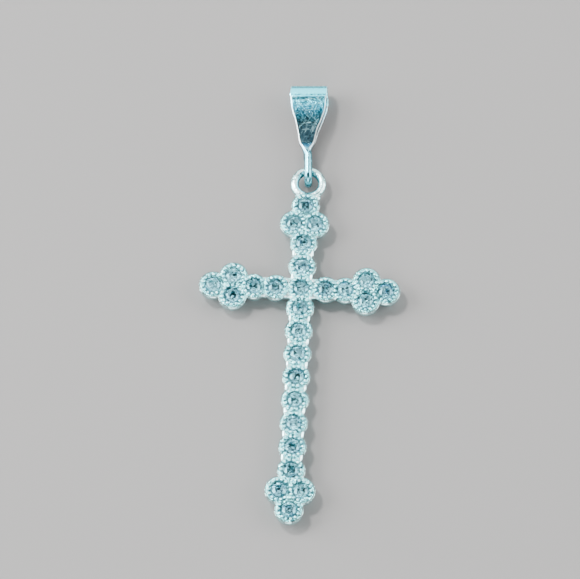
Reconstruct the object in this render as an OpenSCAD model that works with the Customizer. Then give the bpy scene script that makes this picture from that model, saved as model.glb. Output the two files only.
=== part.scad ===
// Cross pendant with budded ends: a cast cross of round cups with a ring on top, one clear
// brilliant stone in each cup, and a folded bail whose tongue loops through the ring.
// It lies on its back at Z = 0, with the bail toward +Y and the origin under the middle.

/* [Cross casting] */
// Height of the casting, from its back to the flat of its cups
frame_h = 1.8; // [1.6:0.05:2.2]
// Diameter of a cup on the upright
cup_d = 2.8; // [2.6:0.05:3.2]
// Diameter of a cup on a side arm
arm_cup_d = 2.7; // [2.6:0.05:3.1]
// Diameter of a cup in the three-lobed buds
bud_cup_d = 2.85; // [2.6:0.05:3.2]
// Width of the bevel round the top of a cup
cup_bevel = 0.2; // [0.1:0.05:0.25]
// Height of the bevel
bevel_h = 0.16; // [0.1:0.01:0.4]
// Height of the upright band under the bevel
band_h = 0.42; // [0.3:0.02:0.6]
// How far a cup's wall leans in from the band to the back
cup_lean = 0.45; // [0.2:0.05:0.6]
// Width of the bars that join the cups
bar_w = 2.1; // [1.8:0.05:2.3]
// Diameter of the pit between two cups in line
pit_d = 0.22; // [0.12:0.02:0.3]
// Depth of that pit
pit_depth = 0.35; // [0.1:0.05:0.6]

/* [Layout] */
// Cups in line above the middle, before the bud
up_cups = 2; // [1:1:3]
// Cups in line on the left arm, before the bud
left_cups = 2; // [1:1:3]
// Cups in line on the right arm, before the bud
right_cups = 2; // [1:1:3]
// Cups in line below the middle, before the bud
down_cups = 8; // [6:1:9]
// Middle of the cross to the first cup above it
up_first = 2.3; // [2:0.05:2.6]
// Pitch of the cups above the middle
up_pitch = 2.5; // [2.2:0.05:2.7]
// Middle of the cross to the first cup on the left
left_first = 2.5; // [2.2:0.05:2.6]
// Pitch of the cups on the left arm
left_pitch = 2.15; // [1.9:0.05:2.4]
// Middle of the cross to the first cup on the right
right_first = 2.4; // [2.2:0.05:2.6]
// Pitch of the cups on the right arm
right_pitch = 1.95; // [1.9:0.05:2.4]
// Middle of the cross to the first cup below it
down_first = 2.1; // [2:0.05:2.6]
// Pitch of the cups down the stem
down_pitch = 2.4; // [2.2:0.05:2.6]
// Last cup in line to the pair of cups of a bud
bud_rise = 2.05; // [1.95:0.05:2.3]
// Half the distance between that pair
bud_spread = 1.05; // [0.95:0.05:1.2]
// Last cup in line to the cup at the tip of a bud
bud_reach = 4; // [3.8:0.05:4.3]

/* [Stones] */
// Diameter of a stone at its girdle
stone_d = 1.5; // [1.3:0.05:1.6]
// Diameter of a stone's table, corner to corner
table_d = 0.86; // [0.7:0.02:0.95]
// Height of the crown, girdle to table
crown_h = 0.24; // [0.16:0.02:0.3]
// Height of the girdle's band
girdle_h = 0.05; // [0.03:0.01:0.08]
// Depth of the pavilion, girdle to point
pavilion_h = 0.65; // [0.55:0.01:0.7]
// How far the table stands above the flat of its cup
table_rise = 0.12; // [0.06:0.02:0.2]
// Clearance between a stone and its seat
seat_gap = 0.03; // [0.02:0.01:0.05]
// Diameter of the light hole behind each stone
light_hole_d = 0.9; // [0.6:0.05:1.1]

/* [Grains] */
// Grains round a cup, before those that would meet a neighbour's are left out
grains_per_cup = 14; // [10:1:16]
// Diameter of a grain on the cups' rims
grain_d = 0.34; // [0.26:0.02:0.36]
// How far a grain's middle stands above the flat
grain_lift = 0.02; // [0:0.01:0.06]

/* [Ring] */
// Diameter of the ring's hole
ring_hole_d = 1.9; // [1.8:0.05:2.4]
// Diameter of the ring's wire
ring_wire_d = 0.84; // [0.7:0.02:1]
// How far the hole's edge stands off the top cup
ring_off = 0.14; // [0.1:0.02:0.25]
// How far the ring sits to the right of the cross's middle
ring_shift = 0.15; // [0:0.05:0.3]
// Width of the solder joint between the ring and the top cup
solder_w = 2.5; // [1.6:0.1:2.8]
// Thickness of that joint
solder_d = 0.76; // [0.6:0.02:0.9]
// How far it lies from the middle of the ring's wire toward the cup
solder_off = 0.16; // [0.1:0.02:0.3]

/* [Bail] */
// Width of the bail across its fold
bail_w = 3.75; // [3.2:0.05:4.6]
// From the ring's wire to the outside of the fold
bail_len = 9.2; // [8:0.05:11]
// Thickness of the bail's sheet
bail_t = 0.45; // [0.35:0.05:0.6]
// Depth of the bail over its fold
bail_depth = 2.7; // [2.3:0.05:3.6]
// Diameter of the tongue that loops through the ring
tongue_d = 0.76; // [0.6:0.02:0.8]
// Clearance between the tongue and the ring's wire, front and back
bail_gap = 0.08; // [0.05:0.01:0.12]
// Slack of the tongue's loop under the ring's wire
bail_slack = 0.42; // [0.3:0.02:0.5]
// Lean of the bail to the left, in degrees
bail_lean = 2.6; // [0:0.2:4]
// How far the tongue hangs to the left of the ring's middle
bail_off = 0.08; // [0:0.02:0.16]
// How far the back leaf stands out to the right of the front one
back_shift = 0.2; // [0:0.05:0.3]
// How much nearer to the fold the back leaf tapers than the front one
back_early = 0.85; // [0.2:0.05:1.2]

/* [Hidden] */
// Columns of the arms: name, direction in degrees, first step, pitch, cups in line, cup diameter
ARMS = [
    ["up", 90, up_first, up_pitch, up_cups, cup_d],
    ["left", 180, left_first, left_pitch, left_cups, arm_cup_d],
    ["right", 0, right_first, right_pitch, right_cups, arm_cup_d],
    ["down", 270, down_first, down_pitch, down_cups, cup_d]
];

// A point that lies so far along an arm and so far to its left
function along(angle, run, side) =
    [run * cos(angle) - side * sin(angle), run * sin(angle) + side * cos(angle)];
function arm_inner(arm) = arm[2] + (arm[4] - 1) * arm[3];

// Columns of a cup: name, place, diameter, direction of its arm
function arm_cups(arm) = concat(
    [for (i = [1:arm[4]]) [str(arm[0], "_", i), along(arm[1], arm[2] + (i - 1) * arm[3], 0), arm[5], arm[1]]],
    [
        [str(arm[0], "_bud_a"), along(arm[1], arm_inner(arm) + bud_rise, bud_spread), bud_cup_d, arm[1]],
        [str(arm[0], "_bud_b"), along(arm[1], arm_inner(arm) + bud_rise, -bud_spread), bud_cup_d, arm[1]],
        [str(arm[0], "_tip"), along(arm[1], arm_inner(arm) + bud_reach, 0), bud_cup_d, arm[1]]
    ]
);
CUPS = concat([["middle", [0, 0], cup_d, 90]], [for (arm = ARMS) each arm_cups(arm)]);

// Heights, from the back up
girdle_z = frame_h + table_rise - crown_h;
culet_z = girdle_z - girdle_h - pavilion_h;
ring_z = tongue_d + bail_gap + ring_wire_d / 2;

// The ring, and the part of its wire that the bail's tongue goes round
ring_y = arm_inner(ARMS[0]) + bud_reach + bud_cup_d / 2 + ring_off + ring_hole_d / 2;
wire_y = ring_y + (ring_hole_d + ring_wire_d) / 2;

// Grains stand on the flat between the seat and the bevel
function seat_r() = stone_d / 2 + seat_gap;
function grain_ring_r(d) = (seat_r() + d / 2 - cup_bevel) / 2;
grain_step = 360 / grains_per_cup;
// Shares of a grain: how far it may reach into a neighbour's ring, and the least spacing of two
grain_overlap = 0.1;
grain_spacing = 1.02;
function cup_grains(cup) = [
    for (k = [0:grains_per_cup - 1])
        let (a = cup[3] + (k + 0.5) * grain_step)
        cup[1] + grain_ring_r(cup[2]) * [cos(a), sin(a)]
];
GRAINS = [for (cup = CUPS) cup_grains(cup)];
function clear_of_cups(p, own) = len([
    for (j = [0:len(CUPS) - 1])
        if (j != own && norm(p - CUPS[j][1]) < grain_ring_r(CUPS[j][2]) - grain_overlap * grain_d) j
]) == 0;
function clear_of_grains(p, own) = own == 0 || len([
    for (j = [0:own - 1])
        for (q = GRAINS[j])
            if (norm(p - q) < grain_spacing * grain_d && clear_of_cups(q, j)) j
]) == 0;
KEPT_GRAINS = [
    for (i = [0:len(CUPS) - 1])
        for (p = GRAINS[i])
            if (clear_of_cups(p, i) && clear_of_grains(p, i)) p
];

// Pits on the flat between cups in line, where the grains leave room, and one in each bud
function cup_run(arm, i) = i == 0 ? 0 : arm[2] + (i - 1) * arm[3];
pit_room = 1.2;
function roomy(arm, step) = step - 2 * grain_ring_r(arm[5]) > pit_room * pit_d;
bud_pit_run = (pow(bud_rise, 2) + pow(bud_spread, 2)) / (2 * bud_rise);
PITS = concat(
    [
        for (arm = ARMS)
            for (i = [1:arm[4]])
                if (roomy(arm, cup_run(arm, i) - cup_run(arm, i - 1)))
                    along(arm[1], (cup_run(arm, i) + cup_run(arm, i - 1)) / 2, 0)
    ],
    [for (arm = ARMS) along(arm[1], arm_inner(arm) + bud_pit_run, 0)]
);

// Leaf of the bail. Columns: share of the leaf's length down from the fold, share of its width
LEAF = [
    [0, 1], [0.05, 0.965], [0.25, 0.89], [0.41, 0.725],
    [0.6, 0.525], [0.81, 0.4], [0.91, 0.25], [1, 0.2]
];
// The leaf isn't quite straight. Columns: share of its length, share of the width that it bends left
BEND = [[0, 0], [0.4, 0], [0.6, 0.03], [0.91, 0.035], [1, 0]];
fold_r = (bail_depth - bail_t) / 2;
fold_y = wire_y + bail_len - bail_depth / 2;
loop_r = (ring_wire_d + tongue_d) / 2 + bail_gap;
loop_y = wire_y - bail_slack;
// Share of the way from the fold to the ring that a leaf takes before it is all tongue
leaf_share = 0.83;
leaf_len = leaf_share * (fold_y - wire_y);
early_share = back_early / leaf_len;
// Share of the leaf's length where its sheet starts to thicken into the tongue
thicken_from = 0.75;
front_z = ring_z + loop_r;
fold_z = bail_depth / 2;
// Height of the front leaf's middle at a place along Y
function front_z_at(y) = front_z + (fold_z + fold_r - front_z) * max(0, y - loop_y) / (fold_y - loop_y);
function mix(a, b, t) = a + (b - a) * t;
function ease(t) = t * t * (3 - 2 * t);
fold_steps = 12;
loop_steps = 12;

// Columns of a station: place along Y, height, width, thickness, shift to the right, direction
function leaf_w(share) = max(lookup(share, LEAF) * bail_w, tongue_d);
function leaf_t(share) =
    mix(bail_t, tongue_d, ease(max(0, (share - thicken_from) / (1 - thicken_from))));
function leaf_bend(share) = -lookup(share, BEND) * bail_w;
function front_stations() = [
    for (i = [len(LEAF) - 1:-1:0])
        let (share = LEAF[i][0], y = fold_y - share * leaf_len)
        [y, front_z_at(y), leaf_w(share), leaf_t(share), leaf_bend(share), 0]
];
function fold_stations() = [
    for (k = [1:fold_steps - 1])
        let (turn = k / fold_steps, a = 90 - 180 * turn)
        [fold_y + fold_r * cos(a), fold_z + fold_r * sin(a), leaf_w(turn * early_share), bail_t,
         back_shift * turn, a - 90]
];
function back_stations() = [
    for (row = LEAF)
        let (share = row[0], early = min(share + early_share, 1), t = leaf_t(early))
        [fold_y - share * leaf_len, t / 2, leaf_w(early), t,
         back_shift * (1 - ease(share)) + leaf_bend(share), -180]
];
function loop_stations() = [
    for (k = [0:loop_steps])
        let (a = -90 - 180 * k / loop_steps)
        [loop_y + loop_r * cos(a), ring_z + loop_r * sin(a), tongue_d, tongue_d, 0, a - 90]
];
STATIONS = concat(front_stations(), fold_stations(), back_stations(), loop_stations());

// A station's outline: a flat strip with round edges, or the tongue's round wire
edge_steps = 6;
function outline(s) = [
    for (side = [1, -1])
        for (k = [0:edge_steps])
            let (
                a = side * (90 - 180 * k / edge_steps),
                x = side * ((s[2] - s[3]) / 2 + s[3] / 2 * cos(a)),
                h = s[3] / 2 * sin(a)
            )
            [x + s[4], s[0] - h * sin(s[5]), s[1] + h * cos(s[5])]
];
function leaned(p) = [
    ring_shift - bail_off + p[0] * cos(bail_lean) - (p[1] - wire_y) * sin(bail_lean),
    wire_y + p[0] * sin(bail_lean) + (p[1] - wire_y) * cos(bail_lean),
    p[2]
];
BAIL_POINTS = [for (s = STATIONS) for (p = outline(s)) leaned(p)];

// Middle of the whole pendant, which the origin lies under
function reach(i, sign) = sign * max([for (cup = CUPS) sign * cup[1][i] + cup[2] / 2]);
middle_x = (reach(0, 1) + reach(0, -1)) / 2;
middle_y = (max([for (p = BAIL_POINTS) p[1]]) + reach(1, -1)) / 2;

$fn = 48;
eps = 0.01;

// Places the parts, which are worked out round the cross's middle
module placed() {
    translate([-middle_x, -middle_y, 0]) children();
}

// Solid of one cup: it leans in to the back, with an upright band and a bevelled rim
module cup_body(d) {
    rotate_extrude()
        polygon([
            [0, 0],
            [d / 2 - cup_lean, 0],
            [d / 2, frame_h - bevel_h - band_h],
            [d / 2, frame_h - bevel_h],
            [d / 2 - cup_bevel, frame_h],
            [0, frame_h]
        ]);
}

// Bar between two points, as deep as the cups and leaning in like them
module bar(run, angle) {
    top = bar_w / 2 - cup_bevel;
    rotate([90, 0, angle + 90])
        linear_extrude(run)
            polygon([
                [-bar_w / 2 + cup_lean, 0],
                [bar_w / 2 - cup_lean, 0],
                [bar_w / 2, frame_h - bevel_h - band_h],
                [bar_w / 2, frame_h - bevel_h],
                [top, frame_h],
                [-top, frame_h],
                [-bar_w / 2, frame_h - bevel_h],
                [-bar_w / 2, frame_h - bevel_h - band_h]
            ]);
}

// Seat of one stone: its girdle's bore, a cone for the pavilion and the light hole behind it
module seat() {
    translate([0, 0, girdle_z - girdle_h])
        cylinder(h = frame_h, r = seat_r());
    translate([0, 0, culet_z - seat_gap])
        cylinder(h = girdle_z - girdle_h - culet_z + seat_gap, r1 = eps, r2 = seat_r());
    hole_top = culet_z + pavilion_h * light_hole_d / stone_d;
    translate([0, 0, -eps])
        cylinder(h = hole_top + eps, d = light_hole_d);
}

module ring() {
    translate([ring_shift, ring_y, ring_z])
        rotate_extrude()
            translate([(ring_hole_d + ring_wire_d) / 2, 0])
                circle(d = ring_wire_d);
}

// Solder that fills the notches where the ring meets the top cup, chamfered at its ends
module solder() {
    r = solder_d / 2;
    end = solder_w / 2;
    translate([ring_shift, ring_y - (ring_hole_d + ring_wire_d) / 2 - solder_off, ring_z])
        rotate([0, 90, 0])
            rotate_extrude()
                polygon([
                    [0, -end],
                    [r / 2, -end],
                    [r, r / 2 - end],
                    [r, end - r / 2],
                    [r / 2, end],
                    [0, end]
                ]);
}

module cross_frame() {
    color("silver") placed() {
        difference() {
            union() {
                for (cup = CUPS)
                    translate(cup[1]) cup_body(cup[2]);
                for (arm = ARMS)
                    bar(arm_inner(arm), arm[1]);
                ring();
                solder();
                for (p = KEPT_GRAINS)
                    translate([p[0], p[1], frame_h + grain_lift]) sphere(d = grain_d);
            }
            for (cup = CUPS)
                translate(cup[1]) seat();
            for (p = PITS)
                translate([p[0], p[1], frame_h - pit_depth])
                    cylinder(h = pit_depth + eps, d1 = eps, d2 = pit_d);
        }
    }
}

// Folded sheet with its tongue, swept round its closed path
module bail() {
    n = 2 * (edge_steps + 1);
    m = len(STATIONS);
    color("silver") placed()
        polyhedron(
            points = BAIL_POINTS,
            faces = [
                for (i = [0:m - 1])
                    for (k = [0:n - 1])
                        let (j = (i + 1) % m, l = (k + 1) % n)
                        each [[i * n + k, j * n + k, i * n + l], [j * n + k, j * n + l, i * n + l]]
            ]
        );
}

// Round brilliant: table, 8 stars, 8 kites, 16 upper halves, girdle, 16 lower halves, 8 mains
module stone(cup) {
    table_r = table_d / 2;
    girdle_r = stone_d / 2;
    // Half of the angle between two of the eight corners, and where the lower halves end
    half = 180 / 8;
    low_share = 0.24;
    star_r = (table_r * cos(half) + girdle_r) / 2;
    star_h = crown_h - (star_r * cos(half) - table_r) * crown_h / (girdle_r - table_r);
    low_r = low_share * girdle_r;
    low_h = -girdle_h - pavilion_h * (1 - low_r * cos(half) / girdle_r);
    function ring_of(n, r, h, turn) = [
        for (i = [0:n - 1])
            let (a = 360 * i / n + turn)
            [r * cos(a), r * sin(a), h]
    ];
    points = concat(
        ring_of(8, table_r, crown_h, half),
        ring_of(8, star_r, star_h, 0),
        ring_of(16, girdle_r, 0, 0),
        ring_of(16, girdle_r, -girdle_h, 0),
        ring_of(8, low_r, low_h, 0),
        [[0, 0, -girdle_h - pavilion_h]]
    );
    T = 0;
    S = 8;
    G = 16;
    H = 32;
    L = 48;
    faces = concat(
        [[for (i = [7:-1:0]) T + i]],
        [for (i = [0:7]) [T + i, T + (i + 1) % 8, S + (i + 1) % 8]],
        [for (i = [0:7]) [T + i, S + (i + 1) % 8, G + 2 * i + 1, S + i]],
        [for (i = [0:7]) [S + i, G + 2 * i + 1, G + 2 * i]],
        [for (i = [0:7]) [S + i, G + 2 * i, G + (2 * i + 15) % 16]],
        [for (i = [0:15]) [G + i, G + (i + 1) % 16, H + (i + 1) % 16, H + i]],
        [for (i = [0:7]) [L + i, H + 2 * i, H + 2 * i + 1]],
        [for (i = [0:7]) [L + i, H + (2 * i + 15) % 16, H + 2 * i]],
        [for (i = [0:7]) [L + 8, L + i, H + 2 * i + 1, L + (i + 1) % 8]]
    );
    color("lightcyan") placed()
        translate([cup[1][0], cup[1][1], girdle_z])
            polyhedron(points = points, faces = faces);
}

cross_frame();
bail();
for (cup = CUPS)
    stone(cup);
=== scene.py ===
# %% [markdown]
# # A silver cross set with 27 clear stones
# The pendant is a casting of 27 round cups with beaded rims. A small brilliant sits in each cup, a
# wire ring is soldered on top, and a folded bail hangs on the ring. The measured model gives every
# solid its place and size. The stones are used as they are, because their flat facets are right.
# The casting and the bail are made again here, finer, with the rounded edges that polishing leaves.

# %% Load the measured model
import math
import bmesh
import bpy
from mathutils import Matrix, Vector


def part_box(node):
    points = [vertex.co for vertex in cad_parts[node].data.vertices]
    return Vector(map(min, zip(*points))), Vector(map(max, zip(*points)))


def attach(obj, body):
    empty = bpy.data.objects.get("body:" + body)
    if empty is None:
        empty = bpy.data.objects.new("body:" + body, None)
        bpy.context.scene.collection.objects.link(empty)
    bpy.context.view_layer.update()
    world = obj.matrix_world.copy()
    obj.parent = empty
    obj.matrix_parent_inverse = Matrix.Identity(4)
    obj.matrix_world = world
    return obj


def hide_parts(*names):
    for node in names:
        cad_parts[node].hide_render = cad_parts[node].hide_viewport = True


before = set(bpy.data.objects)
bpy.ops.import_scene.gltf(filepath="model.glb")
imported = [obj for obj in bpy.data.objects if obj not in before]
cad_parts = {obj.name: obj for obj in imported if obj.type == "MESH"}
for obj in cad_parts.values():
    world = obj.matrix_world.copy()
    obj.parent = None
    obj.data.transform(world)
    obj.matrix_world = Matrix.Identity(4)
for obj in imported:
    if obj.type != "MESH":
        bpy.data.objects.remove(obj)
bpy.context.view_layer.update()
MM = 0.001
print("measured solids:", len(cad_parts))

# %% [markdown]
# ## Where the cups are
# A stone sits in the middle of its cup, so the stones' boxes already say where all 27 cups belong.
# The places could be typed again, but reading them keeps the two models together. The cups of the
# buds are a little wider than those in line.

# %% Read the cups from the stones
BUD_CUP_D, STEM_CUP_D, ARM_CUP_D = 2.85, 2.8, 2.7
stone_nodes = sorted(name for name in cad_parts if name.startswith("stone_"))


def cup_width(name):
    if "bud" in name or "tip" in name:
        return BUD_CUP_D
    return ARM_CUP_D if name.startswith(("left", "right")) else STEM_CUP_D


cups = []
for node_name in stone_nodes:
    low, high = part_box(node_name)
    spot = (low + high) / 2 / MM
    cup = node_name.removeprefix("stone_")
    cups.append((cup, spot.x, spot.y, cup_width(cup)))
where = {name: Vector((x, y, 0)) for name, x, y, _ in cups}
heart = where["middle"]
print("cups:", len(cups), "middle at", tuple(round(v, 3) for v in heart))

# %% [markdown]
# ## The camera
# The pendant lies flat and is seen from its foot, 22 degrees off the vertical. A long lens far away
# keeps the arms nearly parallel. The three turns are written one after another, as a photographer
# would make them: roll the picture, lean back towards the foot, then swing a little to the side.
# Last, the camera moves sideways until the middle cup has its place in the frame.

# %% Aim the camera
ROLL, LEAN, SWING = -2.4886, -22.0, -1.3162
PIXELS_PER_MM, FOCAL_PIXELS, SENSOR_MM = 10.1984, 3636.0, 36
FRAME_PIXELS, MIDDLE_PIXELS = (580, 579), (301.004, 287.525)
RIM_Z = 1.8
turn = (Matrix.Rotation(math.radians(SWING), 3, "Y") @ Matrix.Rotation(math.radians(LEAN), 3, "X")
        @ Matrix.Rotation(math.radians(ROLL), 3, "Z"))
distance = FOCAL_PIXELS / PIXELS_PER_MM
off_x = (MIDDLE_PIXELS[0] - FRAME_PIXELS[0] / 2) / PIXELS_PER_MM
off_y = (FRAME_PIXELS[1] / 2 - MIDDLE_PIXELS[1]) / PIXELS_PER_MM
target = heart + Vector((0, 0, RIM_Z))
place = target + turn.transposed() @ Vector((-off_x, -off_y, distance))

lens = bpy.data.cameras.new("camera")
lens.sensor_width = SENSOR_MM
lens.lens = FOCAL_PIXELS / FRAME_PIXELS[0] * lens.sensor_width
lens.clip_start, lens.clip_end = 0.005, 10
camera = bpy.data.objects.new("camera", lens)
camera.matrix_world = Matrix.Translation(place * MM) @ turn.transposed().to_4x4()
bpy.context.scene.collection.objects.link(camera)
bpy.context.scene.camera = camera
print("camera", round(distance), "mm away, lens", round(lens.lens), "mm")

# %% [markdown]
# ## Nodes in one line
# The finishes, and further down the casting and its beads, are trees of nodes. `add` makes one
# node, sets its options and fills its inputs, with a value or with another node's output. The four
# helpers after it are the steps that the finishes need most: a sum, a ramp, a soft ramp and a mix.

# %% Node helpers
def add(tree, kind, links=(), **settings):
    node = tree.nodes.new(kind)
    for key, value in settings.items():
        setattr(node, key, value)
    for socket, source in links:
        if isinstance(source, bpy.types.NodeSocket):
            tree.links.new(source, node.inputs[socket])
        else:
            node.inputs[socket].default_value = source
    return node


def calc(tree, operation, *values):
    return add(tree, "ShaderNodeMath", list(enumerate(values)), operation=operation).outputs[0]


def ramp(tree, value, low=0.0, high=1.0, to_low=0.0, to_high=1.0, curve="LINEAR"):
    return add(tree, "ShaderNodeMapRange", [
        ("Value", value), ("From Min", low), ("From Max", high), ("To Min", to_low),
        ("To Max", to_high)], interpolation_type=curve).outputs["Result"]


def soft_ramp(tree, *settings):
    return ramp(tree, *settings, curve="SMOOTHSTEP")


def mix(tree, share, first, second):
    return add(tree, "ShaderNodeMix", [("Factor", share), (6, first), (7, second)],
               data_type="RGBA").outputs[2]


print("node helpers ready")

# %% [markdown]
# ## Shared effects
# Three effects are used by more than one finish, so each is a group of nodes that is built once:
# the grain of the casting, the fine marks that wear leaves, and slow cloudy patches. The patches
# are tarnish on the silver and painted light and dark flecks in the stones. They read Object
# coordinates, so they stay put on the metal. A size is given in millimetres.

# %% Start an effect
EFFECTS = {}


def shader_group(name, inputs, outputs):
    group = bpy.data.node_groups.new(name, "ShaderNodeTree")
    for label, kind, value in [("Place", "Vector", None), *inputs]:
        socket = group.interface.new_socket(label, in_out="INPUT", socket_type="NodeSocket" + kind)
        if value is not None:
            socket.default_value = value
    for label, kind in outputs:
        group.interface.new_socket(label, in_out="OUTPUT", socket_type="NodeSocket" + kind)
    return group, group.nodes.new("NodeGroupInput"), group.nodes.new("NodeGroupOutput")


def per_metre(group, size_mm):
    return calc(group, "DIVIDE", 1 / MM, size_mm)


print("effects so far:", len(EFFECTS))

# %% [markdown]
# Metal poured into plaster keeps a faint grain and small dents, even after polishing. Photographs
# of metal would give them too, but noise costs less and never repeats. Noise makes the grain and
# rounded cells make the dents. The same noise says where the metal is a little rougher.

# %% Casting grain
ROUGHER = (0.35, 0.65)


def casting_grain():
    group, given, out = shader_group("casting_grain", [("Size mm", "Float", 0.12)],
                                     [("Height", "Float"), ("Mask", "Float")])
    rate = per_metre(group, given.outputs["Size mm"])
    noise = add(group, "ShaderNodeTexNoise", [("Vector", given.outputs["Place"]),
                ("Scale", rate), ("Detail", 3.0), ("Roughness", 0.6)]).outputs["Fac"]
    dents = add(group, "ShaderNodeTexVoronoi", [("Vector", given.outputs["Place"]),
                ("Scale", rate)], feature="SMOOTH_F1").outputs["Distance"]
    group.links.new(calc(group, "ADD", noise, dents), out.inputs["Height"])
    group.links.new(ramp(group, noise, *ROUGHER), out.inputs["Mask"])
    return group


EFFECTS["grain"] = casting_grain()
print("effects so far:", len(EFFECTS))

# %% [markdown]
# Wear scratches silver in a few directions. A picture of scratches would show where it repeats, so
# each direction is a noise that is turned and then drawn out. Only its highest ridges are kept,
# which leaves thin lines.

# %% Wear marks
SCRATCH_RUNS = [(20.0, 9.0), (-55.0, 12.0), (85.0, 7.0)]
RIDGE = (0.60, 0.68)


def wear_marks():
    group, given, out = shader_group("wear_marks", [("Length mm", "Float", 1.2)],
                                     [("Height", "Float"), ("Mask", "Float")])
    rate = per_metre(group, given.outputs["Length mm"])
    lines = []
    for angle, stretch in SCRATCH_RUNS:
        turned = add(group, "ShaderNodeVectorRotate", [("Vector", given.outputs["Place"]),
                     ("Angle", math.radians(angle))], rotation_type="Z_AXIS")
        drawn = add(group, "ShaderNodeVectorMath", [(0, turned.outputs[0]),
                    (1, (stretch, 1.0, 1.0))], operation="MULTIPLY")
        noise = add(group, "ShaderNodeTexNoise", [("Vector", drawn.outputs[0]),
                    ("Scale", rate), ("Detail", 2.0), ("Distortion", 0.6)])
        lines.append(ramp(group, noise.outputs["Fac"], *RIDGE))
    mask = calc(group, "MAXIMUM", calc(group, "MAXIMUM", lines[0], lines[1]), lines[2])
    group.links.new(calc(group, "SUBTRACT", 1.0, mask), out.inputs["Height"])
    group.links.new(mask, out.inputs["Mask"])
    return group


EFFECTS["marks"] = wear_marks()
print("effects so far:", len(EFFECTS))

# %% [markdown]
# Tarnish comes in cloudy patches with a fairly sharp edge. They could be painted on, but a detailed
# noise, cut by a ramp, has no seams and reaches every recess. It mixes the clean colour with the
# dull one. The stones use the same patches for light and dark flecks, as painted reflections and
# painted shade.

# %% Cloudy patches, for tarnish and painted flecks
TARNISH_EDGE = (0.38, 0.66)


def tarnish_patches():
    group, given, out = shader_group(
        "tarnish_patches", [("Size mm", "Float", 1.6), ("Clean", "Color", (1, 1, 1, 1)),
                            ("Dull", "Color", (0.5, 0.5, 0.5, 1))],
        [("Color", "Color"), ("Mask", "Float")])
    noise = add(group, "ShaderNodeTexNoise", [
        ("Vector", given.outputs["Place"]), ("Scale", per_metre(group, given.outputs["Size mm"])),
        ("Detail", 6.0), ("Roughness", 0.7)])
    mask = ramp(group, noise.outputs["Fac"], *TARNISH_EDGE)
    color = mix(group, mask, given.outputs["Clean"], given.outputs["Dull"])
    group.links.new(color, out.inputs["Color"])
    group.links.new(mask, out.inputs["Mask"])
    return group


EFFECTS["cloudy_patches"] = tarnish_patches()
print("effects:", ", ".join(EFFECTS))

# %% [markdown]
# ## Finishes
# Every finish starts from a plain shader and the place of a point on the piece. The helpers put an
# effect into a finish, read a value stored on the mesh, and turn a height into fine relief.

# %% Start a finish
def start_material(name):
    material = bpy.data.materials.new(name)
    material.use_nodes = True
    tree = material.node_tree
    place_node = tree.nodes.new("ShaderNodeTexCoord")
    return material, tree, tree.nodes["Principled BSDF"], place_node.outputs["Object"]


def effect(tree, key, place_socket, **values):
    node = tree.nodes.new("ShaderNodeGroup")
    node.node_tree = EFFECTS[key]
    tree.links.new(place_socket, node.inputs["Place"])
    for label, value in values.items():
        node.inputs[label.replace("_", " ")].default_value = value
    return node


def stored(tree, name):
    return add(tree, "ShaderNodeAttribute", attribute_name=name).outputs["Fac"]


def set_relief(tree, shader, height, strength, deep_mm):
    relief = add(tree, "ShaderNodeBump", [("Height", height), ("Strength", strength),
                 ("Distance", deep_mm * MM)])
    tree.links.new(relief.outputs["Normal"], shader.inputs["Normal"])


print("finish helpers ready")

# %% [markdown]
# ## Silver for the casting and its beads
# Silver is nearly white, but small bright metal shows mostly its light and its dirt. Its colour is
# darkened next to the stones and between the beads, partly as tarnish and partly as painted shade,
# and lightened on the bevels, the ring and the walls as a painted highlight. The darkening could be
# painted by hand. Here both are read from two values that are stored on the mesh further down:
# `recess` is high where the tarnish and painted shade go, and `wire` where the painted highlight
# goes and the relief is smoothed as by a buff. The tarnish mask breaks the darkening up, because an
# even ring of it round each stone would look drawn.

# %% Casting silver
# The dark colour is painted shade in the recesses, mixed there with tarnish.
SHADE_AND_TARNISH_COLOR, SHADE_AND_TARNISH_FROM, SHADE_AND_TARNISH_FULL, LEAST_SHADE_AND_TARNISH = (0.012, 0.065, 0.08, 1), 0.10, 0.45, 0.62
# The near-white colour is a painted highlight on the ring, the bevels and the walls.
PAINTED_HIGHLIGHT_COLOR, PAINTED_HIGHLIGHT_SHARE, BUFFED_BUMP = (0.76, 0.99, 1.0, 1), 0.85, 0.12
MARK_ROUGH, MARK_DEPTH, SILVER_DEEP_MM = 0.12, 0.35, 0.05


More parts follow.
